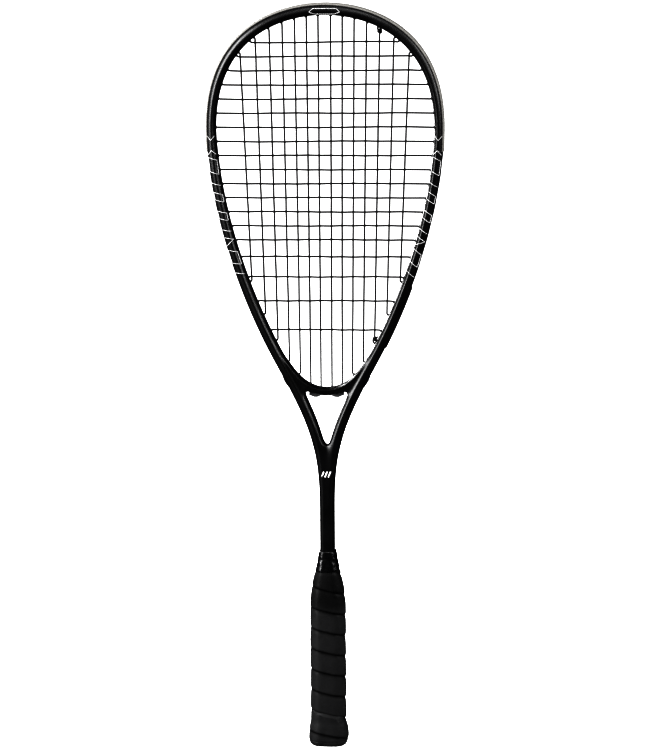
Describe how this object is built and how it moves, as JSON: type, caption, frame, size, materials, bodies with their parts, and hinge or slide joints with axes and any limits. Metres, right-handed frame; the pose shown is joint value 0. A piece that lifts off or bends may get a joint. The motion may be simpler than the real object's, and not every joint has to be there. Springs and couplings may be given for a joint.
{
  "type": "squash racket",
  "caption": "Squash racket with a teardrop carbon head, an open throat, a strung bed, a slim shaft and a wound grip.",
  "frame": {"origin": "middle of the flat end face of the butt cap", "axes": "+Z from the butt to the tip of the head, the strings lie in the XZ plane, Y is the racket's depth"},
  "size_m": [0.217, 0.0322, 0.6849],
  "materials": {
    "frame_lacquer": "satin black lacquer over carbon fibre",
    "black_nylon": "moulded nylon, satin",
    "grey_nylon": "moulded nylon, satin",
    "string": "coated synthetic gut, 1.2 mm",
    "handle_foam": "rigid polyurethane foam",
    "cap_rubber": "moulded, fine satin",
    "staple_steel": "zinc plated wire",
    "grip_polyurethane": "tacky polyurethane grip, fine pebble",
    "vinyl_tape": "stretched vinyl tape, glossy"
  },
  "bodies": {
    "root": {"frame_tube": "frame_lacquer", "throat_bridge": "frame_lacquer", "bumper_guard": "black_nylon", "grommet_strip_left": "black_nylon", "grommet_strip_right": "black_nylon", "grommet_strip_throat": "grey_nylon", "string_bed": "string", "handle_shell_front": "handle_foam", "handle_shell_back": "handle_foam", "butt_cap": "cap_rubber", "butt_cap_staple_front": "staple_steel", "butt_cap_staple_back": "staple_steel", "grip_tape": "grip_polyurethane", "finishing_tape": "vinyl_tape"}
  },
  "joints": []
}
